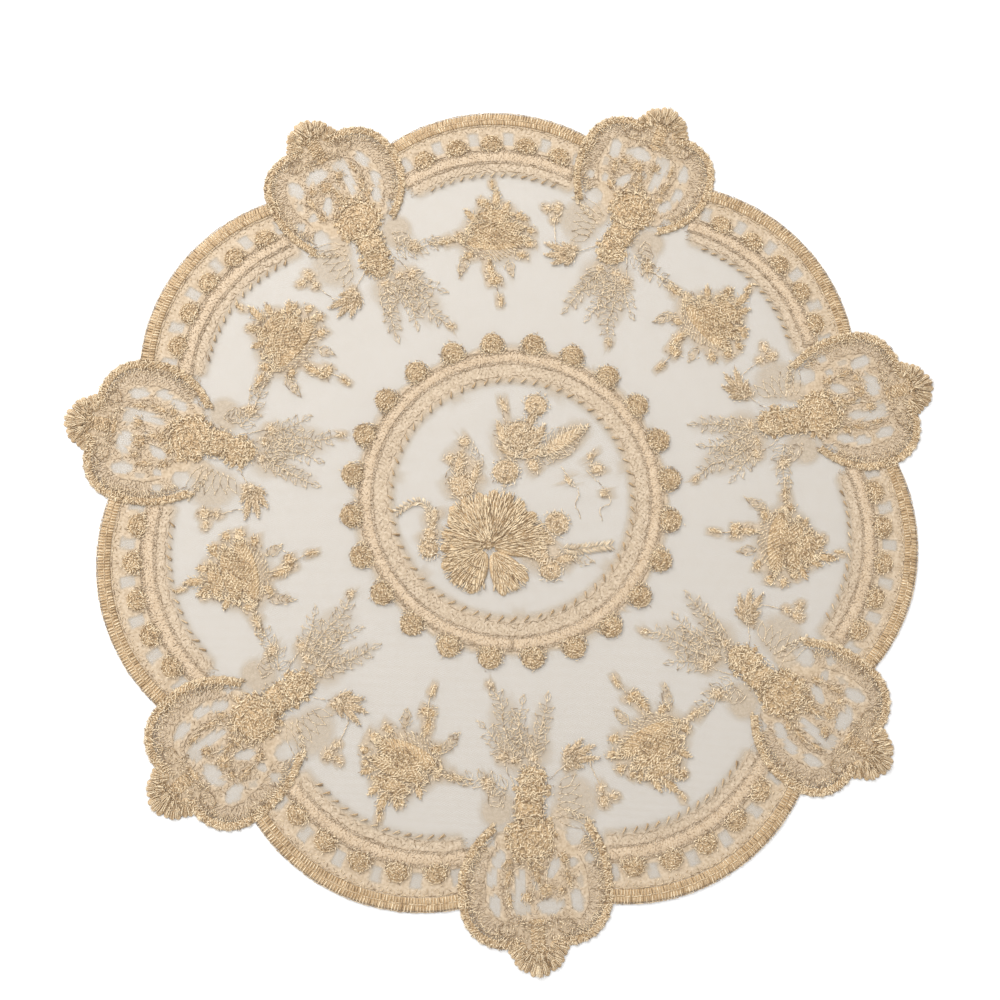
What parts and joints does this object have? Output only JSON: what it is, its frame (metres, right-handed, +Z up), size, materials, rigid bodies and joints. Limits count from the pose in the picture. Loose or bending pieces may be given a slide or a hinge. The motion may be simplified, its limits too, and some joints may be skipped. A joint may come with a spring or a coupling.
{
  "type": "lace placemat",
  "caption": "Round lobed lace placemat of fine net with a satin-stitched scalloped edge, raised floral embroidery and a medallion in the middle.",
  "frame": {"origin": "centre of the pattern, on the underside that lies on the table", "axes": "+Z up, out of the embroidered face; +Y towards the scallop that lies farthest from the viewer; +X to the right"},
  "size_m": [0.3451, 0.344, 0.0023],
  "materials": {
    "lace": "matte beige yarn embroidered on sheer net"
  },
  "bodies": {
    "root": {"lace_mat": "lace"}
  },
  "joints": []
}
